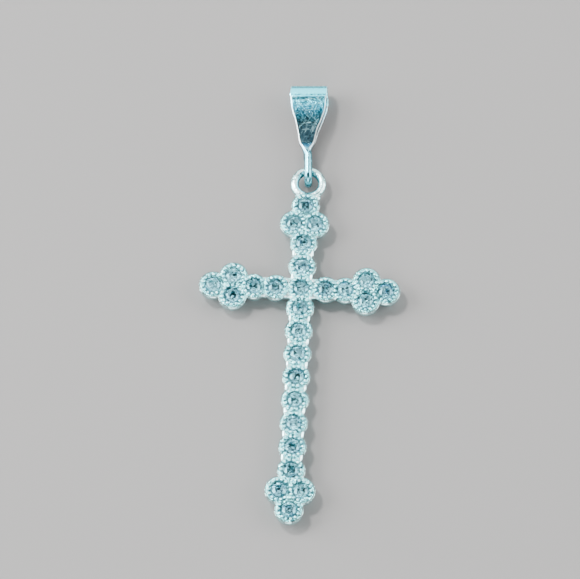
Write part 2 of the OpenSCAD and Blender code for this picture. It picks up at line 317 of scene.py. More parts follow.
def silver(name, clean, dull, rough, grain_mm, patch_mm, mark_mm, bump):
    material, tree, shader, spot = start_material(name)
    shader.inputs["Metallic"].default_value = 1.0
    cloudy_patches = effect(tree, "cloudy_patches", spot, Size_mm=patch_mm, Clean=(*clean, 1), Dull=(*dull, 1))
    grain = effect(tree, "grain", spot, Size_mm=grain_mm)
    marks = effect(tree, "marks", spot, Length_mm=mark_mm)
    wire = stored(tree, "wire")
    # Darker next to the stones and between the beads: tarnish with painted shade.
    shade_and_tarnish = calc(tree, "MULTIPLY", ramp(tree, stored(tree, "recess"), SHADE_AND_TARNISH_FROM, SHADE_AND_TARNISH_FULL),
                ramp(tree, cloudy_patches.outputs["Mask"], 0.0, 1.0, LEAST_SHADE_AND_TARNISH, 1.0))
    # Lighter on the ring, bevels and walls: painted highlight.
    with_painted_highlight = mix(tree, calc(tree, "MULTIPLY", wire, PAINTED_HIGHLIGHT_SHARE), cloudy_patches.outputs["Color"],
                 PAINTED_HIGHLIGHT_COLOR)
    tree.links.new(mix(tree, shade_and_tarnish, with_painted_highlight, SHADE_AND_TARNISH_COLOR), shader.inputs["Base Color"])
    spread = ramp(tree, grain.outputs["Mask"], 0.0, 1.0, *rough)
    worn = calc(tree, "MULTIPLY_ADD", marks.outputs["Mask"], MARK_ROUGH, spread)
    tree.links.new(worn, shader.inputs["Roughness"])
    height = calc(tree, "MULTIPLY_ADD", marks.outputs["Height"], MARK_DEPTH,
                  grain.outputs["Height"])
    eased = calc(tree, "MULTIPLY", height, ramp(tree, wire, 0.0, 1.0, 1.0, BUFFED_BUMP))
    set_relief(tree, shader, eased, bump, SILVER_DEEP_MM)
    return material


cast_silver = silver("satin_cast_silver", (0.34, 0.98, 1.0), (0.01, 0.10, 0.13), (0.06, 0.20),
                     grain_mm=0.22, patch_mm=0.45, mark_mm=1.0, bump=1.0)
bead_silver = silver("bright_bead_silver", (0.52, 0.96, 1.0), (0.10, 0.48, 0.58), (0.05, 0.14),
                     grain_mm=0.14, patch_mm=0.4, mark_mm=0.6, bump=0.3)
print("silver finishes:", cast_silver.name, bead_silver.name)

# %% [markdown]
# ## Silver for the bail
# The bail is rolled sheet and wears differently. Its flat is mottled, and its colour also holds
# painted light: a painted highlight on the fold and on the edges. Down the leaf it is light, then
# has a thin dark band of painted shade where the fold ends, is light again, slowly darkens as
# painted shade, and is bluish just above the tongue. That order is a list of colours along the
# leaf. It reads a value stored on the mesh that says how far down a point lies.

# %% Painted light and shade down the leaf
# Light on the fold as painted highlight, then painted shade: a thin band, and the slow darkening.
LEAF_PAINTED_LIGHT = [
    (0.0, (0.10, 0.82, 1.0)), (0.03, (0.10, 0.74, 0.92)), (0.05, (0.03, 0.20, 0.26)),
    (0.08, (0.03, 0.22, 0.28)), (0.11, (0.08, 0.58, 0.74)), (0.19, (0.03, 0.36, 0.50)),
    (0.28, (0.012, 0.14, 0.21)), (0.40, (0.012, 0.055, 0.072)), (0.53, (0.012, 0.032, 0.038)),
    (0.80, (0.010, 0.026, 0.034)), (0.86, (0.03, 0.17, 0.29)), (0.90, (0.10, 0.40, 0.52)),
    (1.0, (0.12, 0.42, 0.50))]


def painted_light_down_leaf(tree, down):
    shades = add(tree, "ShaderNodeValToRGB", [("Fac", down)])
    stops = shades.color_ramp.elements
    stops.remove(stops[-1])
    stops[0].color = (*LEAF_PAINTED_LIGHT[0][1], 1)
    for share, shade in LEAF_PAINTED_LIGHT[1:]:
        stops.new(share).color = (*shade, 1)
    return shades.outputs["Color"]


print("shades down the leaf:", len(LEAF_PAINTED_LIGHT))

# %% [markdown]
# Low on the leaf lies one dull, nearly round patch with a light line round its upper left, which is
# a painted highlight. It could be painted on a flat map of the leaf. The distance from its middle,
# made ragged with the tarnish mask, needs no map and gives both the patch and the line.

# %% Dull patch
PATCH_PLACE, PATCH_SIZE, RAGGED = (0.04, 17.45), (1.0, 1.1), 0.10
PATCH_EDGE, LINE_INSIDE, LINE_OUTSIDE = (1.0, 0.86), (1.06, 1.12), (1.20, 1.14)
LINE_ABOVE, LINE_LEFT_MM = (0.58, 0.52), (0.4, 0.1)


def dull_patch(tree, spot, mottle, down):
    """Masks of the patch and of the painted highlight line round its upper left."""
    off = add(tree, "ShaderNodeVectorMath", [
        (0, spot), (1, (PATCH_PLACE[0] * MM, PATCH_PLACE[1] * MM, 0.0))], operation="SUBTRACT")
    shares = add(tree, "ShaderNodeVectorMath", [(0, off.outputs[0]), (1, (
        1 / PATCH_SIZE[0] / MM, 1 / PATCH_SIZE[1] / MM, 0.0))], operation="MULTIPLY")
    reach = add(tree, "ShaderNodeVectorMath", [(0, shares.outputs[0])], operation="LENGTH")
    ragged = calc(tree, "MULTIPLY_ADD", mottle, RAGGED, reach.outputs["Value"])
    aside = add(tree, "ShaderNodeSeparateXYZ", [(0, off.outputs[0])]).outputs["X"]
    upper_left = calc(tree, "MULTIPLY", soft_ramp(tree, down, *LINE_ABOVE),
                      soft_ramp(tree, aside, *(mm * MM for mm in LINE_LEFT_MM)))
    line = calc(tree, "MULTIPLY", soft_ramp(tree, ragged, *LINE_INSIDE),
                soft_ramp(tree, ragged, *LINE_OUTSIDE))
    return soft_ramp(tree, ragged, *PATCH_EDGE), calc(tree, "MULTIPLY", upper_left, line)


print("dull patch at", PATCH_PLACE, "mm")

# %% [markdown]
# The finish lays these over each other: the painted light and shade down the leaf, dark spots, the
# patch with its painted highlight line, fine light scratches that thin out downwards, and last a
# painted highlight on the edges. As masks, each can be made stronger or weaker by one number, which
# a painted picture can't. The flat is also a little hammered, and the fold and the edges are
# smooth, which a second stored value says.

# %% Bail finish
LEAF_START, LEAF_END = (0.02, 0.05), (0.97, 0.90)
SPOT_COLOR, SPOT_SHARE = (0.005, 0.02, 0.03, 1), 0.75
PATCH_COLOR, PATCH_SHARE, PATCH_ROUGH = (0.01, 0.02, 0.03, 1), 0.35, 0.14
SCRATCH_AND_HIGHLIGHT_COLOR, SCRATCH_FADE, HIGHLIGHT_LINE_SHARE = (0.50, 0.93, 1.0, 1), (0.55, 0.2, 0.10, 0.24), 0.3
EDGE_HIGHLIGHT_COLOR, EDGE_HIGHLIGHT_FADE = (0.92, 1.0, 1.0, 1), (0.98, 0.86, 0.0, 0.3)
BAIL_ROUGH, EDGE_BUMP, BAIL_BUMP, BAIL_DEEP_MM = (0.13, 0.30), 0.08, 0.8, 0.03


def bail_wear_and_painted_light():
    material, tree, shader, spot = start_material("worn_bail_silver")
    shader.inputs["Metallic"].default_value = 1.0
    down, edge = stored(tree, "down_leaf"), stored(tree, "near_edge")
    on_leaf = calc(tree, "MULTIPLY", soft_ramp(tree, down, *LEAF_START),
                   soft_ramp(tree, down, *LEAF_END))
    mottle = effect(tree, "cloudy_patches", spot, Size_mm=0.42).outputs["Mask"]
    marks = effect(tree, "marks", spot, Length_mm=1.1)
    grain = effect(tree, "grain", spot, Size_mm=0.24)
    patch, line = dull_patch(tree, spot, mottle, down)

    spots = calc(tree, "MULTIPLY", mottle, calc(tree, "MULTIPLY", on_leaf, SPOT_SHARE))
    color = mix(tree, spots, painted_light_down_leaf(tree, down), SPOT_COLOR)
    color = mix(tree, calc(tree, "MULTIPLY", patch, PATCH_SHARE), color, PATCH_COLOR)
    scratches = calc(tree, "MULTIPLY", marks.outputs["Mask"],
                     soft_ramp(tree, down, *SCRATCH_FADE))
    # The light line round the patch is a painted highlight, in the scratch colour.
    lights = calc(tree, "MAXIMUM", calc(tree, "MULTIPLY", scratches, on_leaf),
                  calc(tree, "MULTIPLY", line, HIGHLIGHT_LINE_SHARE))
    color = mix(tree, lights, color, SCRATCH_AND_HIGHLIGHT_COLOR)
    # A painted highlight along the edges, fading out towards the tongue.
    edge_highlight = calc(tree, "MULTIPLY", edge, soft_ramp(tree, down, *EDGE_HIGHLIGHT_FADE))
    tree.links.new(mix(tree, edge_highlight, color, EDGE_HIGHLIGHT_COLOR), shader.inputs["Base Color"])

    rough = calc(tree, "MULTIPLY_ADD", patch, PATCH_ROUGH,
                 soft_ramp(tree, grain.outputs["Mask"], 0.0, 1.0, *BAIL_ROUGH))
    tree.links.new(rough, shader.inputs["Roughness"])
    inner = calc(tree, "MULTIPLY", on_leaf, calc(tree, "SUBTRACT", 1.0, edge))
    hammered = calc(tree, "ADD", grain.outputs["Height"], marks.outputs["Height"])
    height = calc(tree, "MULTIPLY", hammered,
                  calc(tree, "MULTIPLY_ADD", inner, 1 - EDGE_BUMP, EDGE_BUMP))
    set_relief(tree, shader, height, BAIL_BUMP, BAIL_DEEP_MM)
    return material


bail_silver = bail_wear_and_painted_light()
print("bail finish:", bail_silver.name)

# %% [markdown]
# ## The clear stones
# A brilliant is a clear solid whose facets throw light back through its top. Real glass shading on
# flat facets does most of the work, but 27 stones cut and set exactly alike would all show the same
# star. Real ones sit a little askew and carry small light and dark flecks. So a broad bump tilts
# the shading a few degrees from stone to stone and a fine one breaks it into flecks. Turning each
# stone would also do, but the measured stones are never moved. The colour is patchy too: light and
# dark patches painted on the stones, as painted reflections and painted shade.

# %% Stone finish
STONE_INDEX, GLINT_COLOR = 2.15, (0.40, 0.88, 1.0, 1)
PAINTED_FLECK_MM, PAINTED_LIGHT_FLECKS, PAINTED_DARK_FLECKS = 0.8, (0.28, 0.90, 1.0, 1), (0.01, 0.08, 0.20, 1)
DUST_MM, DUST_ROUGH = 0.2, 0.03
FLECK_MM, ASKEW_MM, ASKEW_SHARE, STONE_DEEP_MM = 0.5, 2.2, 6.0, 0.036


def clear_stone_material():
    material, tree, shader, spot = start_material("brilliant_stone")
    shader.inputs["Transmission Weight"].default_value = 1.0
    shader.inputs["IOR"].default_value = STONE_INDEX
    shader.inputs["Specular Tint"].default_value = GLINT_COLOR
    # Light and dark flecks painted into the stones' colour, as painted reflections and painted
    # shade.
    tint = effect(tree, "cloudy_patches", spot, Size_mm=PAINTED_FLECK_MM, Clean=PAINTED_LIGHT_FLECKS, Dull=PAINTED_DARK_FLECKS)
    tree.links.new(tint.outputs["Color"], shader.inputs["Base Color"])
    dust = effect(tree, "grain", spot, Size_mm=DUST_MM).outputs["Mask"]
    tree.links.new(ramp(tree, dust, 0.0, 1.0, 0.0, DUST_ROUGH), shader.inputs["Roughness"])
    flecks = add(tree, "ShaderNodeTexVoronoi", [("Vector", spot), ("Scale", 1 / (FLECK_MM * MM))])
    askew = add(tree, "ShaderNodeTexNoise", [("Vector", spot), ("Scale", 1 / (ASKEW_MM * MM)),
                ("Detail", 0.0)])
    flicker = calc(tree, "MULTIPLY_ADD", askew.outputs["Fac"], ASKEW_SHARE,
                   flecks.outputs["Distance"])
    set_relief(tree, shader, flicker, 1.0, STONE_DEEP_MM)
    return material


clear_stone = clear_stone_material()
for node_name in stone_nodes:
    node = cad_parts[node_name]
    node.data.materials.clear()
    node.data.materials.append(clear_stone)
print("stones dressed:", len(stone_nodes))

# %% [markdown]
# ## Small tools for making meshes
# All shapes are worked out in millimetres and made smaller by a thousand when the mesh is built.
# Points that fall together are merged and all faces are turned outwards. A number can be stored on
# each point under a name, for a tree or a finish to read.

# %% Make a mesh
SAME_POINT = 1e-8


def new_object(name, points, faces, merge=True):
    mesh = bpy.data.meshes.new(name)
    mesh.from_pydata([Vector(p) * MM for p in points], [], faces)
    bm = bmesh.new()
    bm.from_mesh(mesh)
    if merge:
        bmesh.ops.remove_doubles(bm, verts=bm.verts, dist=SAME_POINT)
    bmesh.ops.recalc_face_normals(bm, faces=bm.faces)
    bm.to_mesh(mesh)
    bm.free()
    thing = bpy.data.objects.new(name, mesh)
    bpy.context.scene.collection.objects.link(thing)
    return thing


def store(thing, columns):
    """Stores one number a point under each name."""
    for key, values in columns.items():
        thing.data.attributes.new(key, "FLOAT", "POINT").data.foreach_set("value", values)


def points_object(name, places, **columns):
    thing = new_object(name, places, [])
    store(thing, columns)
    return thing


print("mesh helpers ready")

# %% [markdown]
# `rounded` cuts the corners off an outline with short arcs, the way a buff softens sharp metal, and
# `lathe` turns an outline round the Z axis. Ready-made cylinders would have sharp corners.

# %% Round an outline and turn it on the lathe
ARC_ROOM, ON_AXIS = 0.45, 1e-6


def rounded(outline, steps=4):
    """Rows of x, y and the radius of the arc that replaces that corner."""
    out = []
    for i, (x, y, radius) in enumerate(outline):
        here = Vector((x, y))
        if radius == 0:
            out.append(tuple(here))
            continue
        back = Vector(outline[i - 1][:2]) - here
        on = Vector(outline[(i + 1) % len(outline)][:2]) - here
        reach = min(radius / math.tan(back.angle(on) / 2), back.length * ARC_ROOM,
                    on.length * ARC_ROOM)
        a, b = here + back.normalized() * reach, here + on.normalized() * reach
        for k in range(steps + 1):
            t = k / steps
            out.append(tuple(a * (1 - t) ** 2 + here * 2 * t * (1 - t) + b * t ** 2))
    return out


def lathe(name, outline, steps=72):
    points, rows = [], []
    for r, z in outline:
        count = 1 if r < ON_AXIS else steps
        rows.append((len(points), count))
        points += [(r * math.cos(math.tau * k / count), r * math.sin(math.tau * k / count), z)
                   for k in range(count)]
    faces = []
    for (a, n), (b, m) in zip(rows, rows[1:]):
        for k in range(steps):
            ring = [a + k % n, a + (k + 1) % n, b + (k + 1) % m, b + k % m]
            faces.append(tuple(dict.fromkeys(ring)))
    return new_object(name, points, [f for f in faces if len(f) > 2])


print("lathe ready")

# %% [markdown]
# ## The casting
# A caster builds the cross from one cup blank, repeated 27 times, and four bars that tie the cups
# together. Each cup is then bored from the front for its stone and from the back for the light
# hole. Copies and a modifier for each cut could do it, but a tree of Geometry Nodes sets the
# blanks, joins them and cuts all the bores in one go, and a change of the blank reaches every cup.
# First come the blanks and the cutters.

# %% Cup blank
BAND_LOW, BAND_HIGH, WALL_LEAN, BEVEL = 1.22, 1.64, 0.45, 0.2
FOOT_SOFT, BAND_SOFT, SHOULDER_SOFT, RIM_SOFT = 0.05, 0.25, 0.16, 0.1
CUP_BLANK_D = STEM_CUP_D


def wall(half):
    """The side of a cup or bar, from its foot up to its rim."""
    return [(half - WALL_LEAN, 0, FOOT_SOFT), (half, BAND_LOW, BAND_SOFT),
            (half, BAND_HIGH, SHOULDER_SOFT), (half - BEVEL, RIM_Z, RIM_SOFT)]


cup_blank = lathe("cup_blank", rounded([(0, 0, 0)] + wall(CUP_BLANK_D / 2) + [(0, RIM_Z, 0)]))
print("cup blank:", len(cup_blank.data.polygons), "faces")

# %% [markdown]
# A straight drill would leave a step under the stone. So the seat cutter follows the stone: a short
# straight wall at its girdle, a cone under it, and then the light hole, which opens a little at the
# back. Its corners are crisp, as a cut leaves them.

# %% Seat cutter
SEAT_R, GIRDLE_Z, CULET_Z, LIGHT_R = 0.78, 1.68, 0.98, 0.45
STONE_R, STONE_DEEP, GIRDLE_ROOM = 0.75, 0.65, 0.05
FLARE_W, FLARE_H, RIM_CHAMFER = 0.06, 0.08, 0.03
WELL_BELOW, WELL_ABOVE, CRISP = -0.2, 2.6, 0
flare_r, mouth_r = LIGHT_R + FLARE_W, SEAT_R + RIM_CHAMFER
drill = [(0, WELL_BELOW), (flare_r, WELL_BELOW), (flare_r, 0), (LIGHT_R, FLARE_H),
         (LIGHT_R, CULET_Z + STONE_DEEP * LIGHT_R / STONE_R), (SEAT_R, GIRDLE_Z - GIRDLE_ROOM),
         (SEAT_R, RIM_Z - RIM_CHAMFER), (mouth_r, RIM_Z), (mouth_r, WELL_ABOVE), (0, WELL_ABOVE)]
seat_cutter = lathe("seat_cutter", rounded([(r, z, CRISP) for r, z in drill]))
print("seat cutter:", len(seat_cutter.data.polygons), "faces")

# %% [markdown]
# The bars could be made one for each arm. One is enough: a straight run of the same wall, 1 mm
# long, that is stretched to each arm's length. It is a hair thinner than the cups, so that no two
# surfaces lie in one plane when they are joined.

# %% Bar blank
BAR_W, BAR_SQUEEZE, BAR_LIFT = 2.1, 0.998, 0.002
bar_side = rounded(wall(BAR_W / 2), steps=3)
bar_outline = bar_side + [(-x, z) for x, z in reversed(bar_side)]
count = len(bar_outline)
bar_blank = new_object(
    "bar_blank",
    [(run, x, z * BAR_SQUEEZE + BAR_LIFT) for run in (0, 1) for x, z in bar_outline],
    [tuple(range(count)), tuple(range(2 * count - 1, count - 1, -1))]
    + [(k, (k + 1) % count, count + (k + 1) % count, count + k) for k in range(count)])
print("bar blank:", len(bar_blank.data.polygons), "faces")

# %% [markdown]
# The ring is plain round wire, closed and soldered behind the top cup. Blender's torus would do,
# but it starts at the origin and has to be moved from there. Here the points are worked out in
# place, from two angles, one round the ring and one round the wire.

# %% Ring
RING_HOLE, RING_WIRE, RING_Z, RING_ASIDE, HOLE_ABOVE_CUP = 1.9, 0.84, 1.26, 0.15, 0.14
AROUND, ACROSS_WIRE = 96, 28
ring_middle = Vector((heart.x + RING_ASIDE,
                      where["up_tip"].y + BUD_CUP_D / 2 + HOLE_ABOVE_CUP + RING_HOLE / 2, RING_Z))
ring_r = (RING_HOLE + RING_WIRE) / 2
ring_points, ring_faces = [], []
for i in range(AROUND):
    a = math.tau * i / AROUND
    for j in range(ACROSS_WIRE):
        b = math.tau * j / ACROSS_WIRE
        r = ring_r + RING_WIRE / 2 * math.cos(b)
        ring_points.append(ring_middle + Vector((r * math.cos(a), r * math.sin(a),
                                                 RING_WIRE / 2 * math.sin(b))))
        row, next_row = i * ACROSS_WIRE, (i + 1) % AROUND * ACROSS_WIRE
        n = (j + 1) % ACROSS_WIRE
        ring_faces.append((row + j, next_row + j, next_row + n, row + n))
ring_blank = new_object("ring_blank", ring_points, ring_faces)
print("ring at", tuple(round(v, 2) for v in ring_middle), "faces:", len(ring_faces))

# %% [markdown]
# Solder flows into the notches on both sides of the joint. It could be sculpted, but so little of
# it shows that a short bar with soft ends is enough. It is turned on the lathe, laid on its side
# and set where the ring meets the top cup.

# %% Solder
SOLDER_W, SOLDER_D, SOLDER_OFF = 2.5, 0.76, 0.16
END_SOFT, SIDE_SOFT, SOLDER_STEPS = 0.1, 0.2, 40
solder_blank = lathe("solder_blank", rounded([
    (0, -SOLDER_W / 2, 0), (SOLDER_D / 4, -SOLDER_W / 2, END_SOFT),
    (SOLDER_D / 2, SOLDER_D / 4 - SOLDER_W / 2, SIDE_SOFT),
    (SOLDER_D / 2, SOLDER_W / 2 - SOLDER_D / 4, SIDE_SOFT),
    (SOLDER_D / 4, SOLDER_W / 2, END_SOFT), (0, SOLDER_W / 2, 0)]), SOLDER_STEPS)
joint = ring_middle - Vector((0, ring_r + SOLDER_OFF, 0))
solder_blank.data.transform(Matrix.Translation(joint * MM) @ Matrix.Rotation(math.pi / 2, 4, "Y"))
print("solder:", len(solder_blank.data.polygons), "faces")

# %% [markdown]
# Small conical pits are drilled between cups where the beads leave room, and one in the middle of
# each bud. Their places could be typed. Instead, each arm is a direction and a number of cups in
# line, and its pits follow from that, so they stay between the cups wherever those are.

# %% Pits
ARMS = {"up": (90, 2), "left": (180, 2), "right": (0, 2), "down": (270, 8)}
PIT_D, PIT_DEPTH, BUD_PIT, PIT_ROOM = 0.22, 0.35, 1.294, 1.2
PIT_FLARE, PIT_OVER, PIT_STEPS = 0.03, 0.05, 20


def bead_ring(width):
    """Radius of the ring of beads, half way between the seat and the bevel."""
    return (SEAT_R + width / 2 - BEVEL) / 2


pits = []
for arm, (angle, in_line) in ARMS.items():
    way = Vector((math.cos(math.radians(angle)), math.sin(math.radians(angle)), 0))
    line = [heart] + [where[f"{arm}_{i + 1}"] for i in range(in_line)]
    room = 2 * bead_ring(cup_width(arm + "_1")) + PIT_ROOM * PIT_D
    pits += [(a + b) / 2 for a, b in zip(line, line[1:]) if (b - a).length > room]
    pits.append(line[-1] + way * BUD_PIT)
pit_cutter = lathe("pit_cutter", [
    (0, RIM_Z - PIT_DEPTH), (PIT_D / 2, RIM_Z), (PIT_D / 2 + PIT_FLARE, RIM_Z + PIT_OVER),
    (0, RIM_Z + PIT_OVER)], PIT_STEPS)
print("pits:", len(pits))

# %% [markdown]
# ## Helpers for Geometry Nodes
# A tree repeats one shape at many points. It has named inputs, and a modifier is told their values
# by the inputs' identifiers. Each tree ends by making the repeats real and giving them a material,
# and the result is turned into one plain mesh.

# %% Geometry node helpers
def new_tree(name, inputs):
    tree = bpy.data.node_groups.new(name, "GeometryNodeTree")
    tree.interface.new_socket("Geometry", in_out="INPUT", socket_type="NodeSocketGeometry")
    for label, kind in inputs:
        tree.interface.new_socket(label, in_out="INPUT", socket_type="NodeSocket" + kind)
    tree.interface.new_socket("Geometry", in_out="OUTPUT", socket_type="NodeSocketGeometry")
    return tree, tree.nodes.new("NodeGroupInput").outputs


def shape(tree, given, label):
    return add(tree, "GeometryNodeObjectInfo", [("Object", given[label])]).outputs["Geometry"]


def column(tree, label):
    return add(tree, "GeometryNodeInputNamedAttribute", [("Name", label)],
               data_type="FLOAT").outputs[0]


def repeat(tree, given, spots, label, *extra):
    return add(tree, "GeometryNodeInstanceOnPoints", [
        ("Points", spots), ("Instance", shape(tree, given, label)), *extra]).outputs[0]


def end_tree(tree, given, geometry):
    whole = add(tree, "GeometryNodeRealizeInstances", [("Geometry", geometry)])
    dressed = add(tree, "GeometryNodeSetMaterial", [("Geometry", whole.outputs[0]),
                  ("Material", given["Finish"])])
    tree.links.new(dressed.outputs[0], tree.nodes.new("NodeGroupOutput").inputs["Geometry"])
    return tree


print("tree helpers ready")

# %% [markdown]
# The repeats and cuts have to be in the mesh itself when a piece is handed over. So a tree is run
# once, its result is kept as a plain mesh, and the modifier and the blanks are removed.

# %% Turn a tree's result into a plain mesh
def baked(thing):
    return bpy.data.meshes.new_from_object(
        thing.evaluated_get(bpy.context.evaluated_depsgraph_get()))


def grow(host, tree, values):
    """Runs a tree on an object and gives it the result as one plain mesh."""
    ids = {s.name: s.identifier for s in tree.interface.items_tree
           if getattr(s, "in_out", "") == "INPUT"}
    modifier = host.modifiers.new("grow", "NODES")
    modifier.node_group = tree
    for label, value in values.items():
        modifier[ids[label]] = value
    mesh = baked(host)
    host.modifiers.remove(modifier)
    old, host.data = host.data, mesh
    bpy.data.meshes.remove(old)
    mesh.name = host.name


def drop(*things):
    for thing in things:
        bpy.data.objects.remove(thing)


print("grow ready")

# %% [markdown]
# ## The casting's tree
# It puts a cup blank on each point, wider or narrower by the point's own width, and a bar on each
# arm. They are joined with the ring and its solder into one solid, as they are in the metal.

# %% Join the blanks
def joined_blanks(tree, given):
    width = calc(tree, "DIVIDE", column(tree, "width"), CUP_BLANK_D)
    widen = add(tree, "ShaderNodeCombineXYZ", [(0, width), (1, width), (2, 1.0)])
    cups_made = repeat(tree, given, given["Geometry"], "Cup blank", ("Scale", widen.outputs[0]))
    longer = add(tree, "ShaderNodeCombineXYZ", [(0, column(tree, "run")), (1, 1.0), (2, 1.0)])
    turned = add(tree, "ShaderNodeCombineXYZ", [(2, column(tree, "turn"))])
    bars_made = repeat(tree, given, shape(tree, given, "Arm points"), "Bar blank",
                       ("Scale", longer.outputs[0]), ("Rotation", turned.outputs[0]))
    joined = add(tree, "GeometryNodeMeshBoolean", [("Mesh 2", cups_made)], operation="UNION",
                 solver="MANIFOLD")
    for piece in (bars_made, shape(tree, given, "Ring"), shape(tree, given, "Solder")):
        tree.links.new(piece, joined.inputs["Mesh 2"])
    return joined.outputs["Mesh"]


print("joins: cups, bars, ring, solder")

# %% [markdown]
# Boring comes after joining, as at the bench, so a seat also cuts what a bar brings into it. The
# cuts leave crisp edges and the blanks have soft ones. Shading by the angle keeps both: an edge
# over 35 degrees stays crisp and the short arcs look round.

# %% Bore the seats and pits, keep crisp edges
def bored_seats(tree, given, solid):
    seats = repeat(tree, given, given["Geometry"], "Seat cutter")
    holes = repeat(tree, given, shape(tree, given, "Pit points"), "Pit cutter")
    bored = add(tree, "GeometryNodeMeshBoolean", [("Mesh 1", solid), ("Mesh 2", seats)],
                operation="DIFFERENCE", solver="MANIFOLD")
    tree.links.new(holes, bored.inputs["Mesh 2"])
    return bored.outputs["Mesh"]


def crisp_edges(tree, given, solid):
    smooth = add(tree, "GeometryNodeSetShadeSmooth", [("Geometry", solid)])
    bend = add(tree, "GeometryNodeInputMeshEdgeAngle").outputs["Unsigned Angle"]
    crisp = add(tree, "FunctionNodeCompare", [(0, bend), (1, given["Crisp angle"])],
                data_type="FLOAT", operation="GREATER_THAN")
    return add(tree, "GeometryNodeSetShadeSmooth", [
        ("Geometry", smooth.outputs[0]), ("Selection", crisp.outputs[0]),
        ("Shade Smooth", False)], domain="EDGE").outputs[0]


print("cuts: seats, pits")

# %% [markdown]
# The points carry what differs from one repeat to the next: a cup's width, and a bar's length and
# direction. The four bars start a hair apart in height, so that no two of them share a plane.

# %% Grow the casting
CRISP_DEGREES, ARM_STEP = 35, 0.0001
casting_tree, casting_given = new_tree("casting", [
    ("Cup blank", "Object"), ("Seat cutter", "Object"), ("Ring", "Object"), ("Solder", "Object"),
    ("Bar blank", "Object"), ("Arm points", "Object"), ("Pit cutter", "Object"),
    ("Pit points", "Object"), ("Crisp angle", "Float"), ("Finish", "Material")])
solid = bored_seats(casting_tree, casting_given, joined_blanks(casting_tree, casting_given))
end_tree(casting_tree, casting_given, crisp_edges(casting_tree, casting_given, solid))

arm_points = points_object(
    "arm_points", [heart + Vector((0, 0, ARM_STEP * i)) for i in range(len(ARMS))],
    run=[(where[f"{arm}_{n}"] - heart).length for arm, (_, n) in ARMS.items()],
    turn=[math.radians(angle) for angle, _ in ARMS.values()])
pit_points = points_object("pit_points", pits)
casting = points_object("cast_cross", [(x, y, 0) for _, x, y, _ in cups],
                        width=[d for *_, d in cups])
grow(casting, casting_tree, {
    "Cup blank": cup_blank, "Seat cutter": seat_cutter, "Ring": ring_blank, "Solder": solder_blank,
    "Bar blank": bar_blank, "Arm points": arm_points, "Pit cutter": pit_cutter,
    "Pit points": pit_points, "Crisp angle": math.radians(CRISP_DEGREES), "Finish": cast_silver})
drop(cup_blank, seat_cutter, ring_blank, solder_blank, bar_blank, arm_points, pit_cutter,
     pit_points)
print("casting:", len(casting.data.polygons), "faces, box",
      [round(v / MM, 2) for v in casting.dimensions])

# %% [markdown]
# A cut leaves long thin faces, and light would bend across them. Weighting the normals by the size
# of the faces keeps the flat tops flat, as a lap does on the real piece.

# %% Keep the flats flat
facing = casting.modifiers.new("flat_faces", "WEIGHTED_NORMAL")
facing.keep_sharp = True
facing.weight = 100
casting_mesh = baked(casting)
casting.modifiers.remove(facing)
casting.data = casting_mesh
print("casting:", len(casting_mesh.vertices), "points")

# %% [markdown]
# ## Painted shade, tarnish and painted highlight on the casting
# Each point of the mesh gets the two values that the silver reads. `near` is 0 at the wall of the
# closest seat and 1 where the bevel starts. The darkening, tarnish with painted shade, is thickest
# next to the stone and ends at the bevel, and the seats under the stones are darkened as painted
# shade too. The painted highlight, with the smoother relief, reaches the ring and the bevels well,
# the walls a little and the seats not at all.

# %% Mark painted shade, tarnish and painted highlight
# The seat under each stone is darkened as painted shade.
SEAT_NEAR, SEAT_PAINTED_SHADE, TOP_SLACK = 0.05, 0.3, 0.02
RING_FROM, RING_NEAR, BEVEL_LOW, BEVEL_HIGH = 1.3, 1.1, BAND_HIGH - 0.1, RIM_Z - 0.03
# These values lighten the ring, bevels and walls as painted highlight, and smooth their relief.
RING_POLISH_HIGHLIGHT, BEVEL_POLISH_HIGHLIGHT, WALL_POLISH_HIGHLIGHT = 0.7, 0.8, 0.35


def shade_tarnish_polish_highlight(p):
    near = min((math.hypot(p.x - x, p.y - y) - SEAT_R) / (d / 2 - BEVEL - SEAT_R)
               for _, x, y, d in cups)
    on_top = p.z > RIM_Z - TOP_SLACK
    if near < SEAT_NEAR and not on_top:
        return SEAT_PAINTED_SHADE, 0.0
    shade_and_tarnish = 1 - min(max(near, 0), 1) if on_top else 0.0
    if p.y > ring_middle.y - RING_FROM and near > RING_NEAR:
        return shade_and_tarnish, RING_POLISH_HIGHLIGHT
    if BEVEL_LOW < p.z < BEVEL_HIGH:
        return shade_and_tarnish, BEVEL_POLISH_HIGHLIGHT
    return shade_and_tarnish, WALL_POLISH_HIGHLIGHT if p.z < BEVEL_HIGH else 0.0


marks_on_casting = [shade_tarnish_polish_highlight(v.co / MM) for v in casting_mesh.vertices]
store(casting, {"recess": [shade_and_tarnish for shade_and_tarnish, _ in marks_on_casting],
                "wire": [polish_highlight for _, polish_highlight in marks_on_casting]})
print("points with dirt:", sum(shade_and_tarnish > 0 for shade_and_tarnish, _ in marks_on_casting))

# %% [markdown]
# ## The beaded rims
# A beading tool raises 14 small grains round each stone. Where two cups meet there is no room for
# all of them, so a grain is left out if it would stand in a neighbour's ring or touch another one.
# The order of the cups decides which of two grains stays, so it is the same as in the solids.

# %% Choose the grains
GRAIN_D, GRAINS, GRAIN_ROOM, CROWD_SLACK = 0.34, 14, 1.02, 0.1
DIRECTION = {"middle": 90, **{arm: angle for arm, (angle, _) in ARMS.items()}}


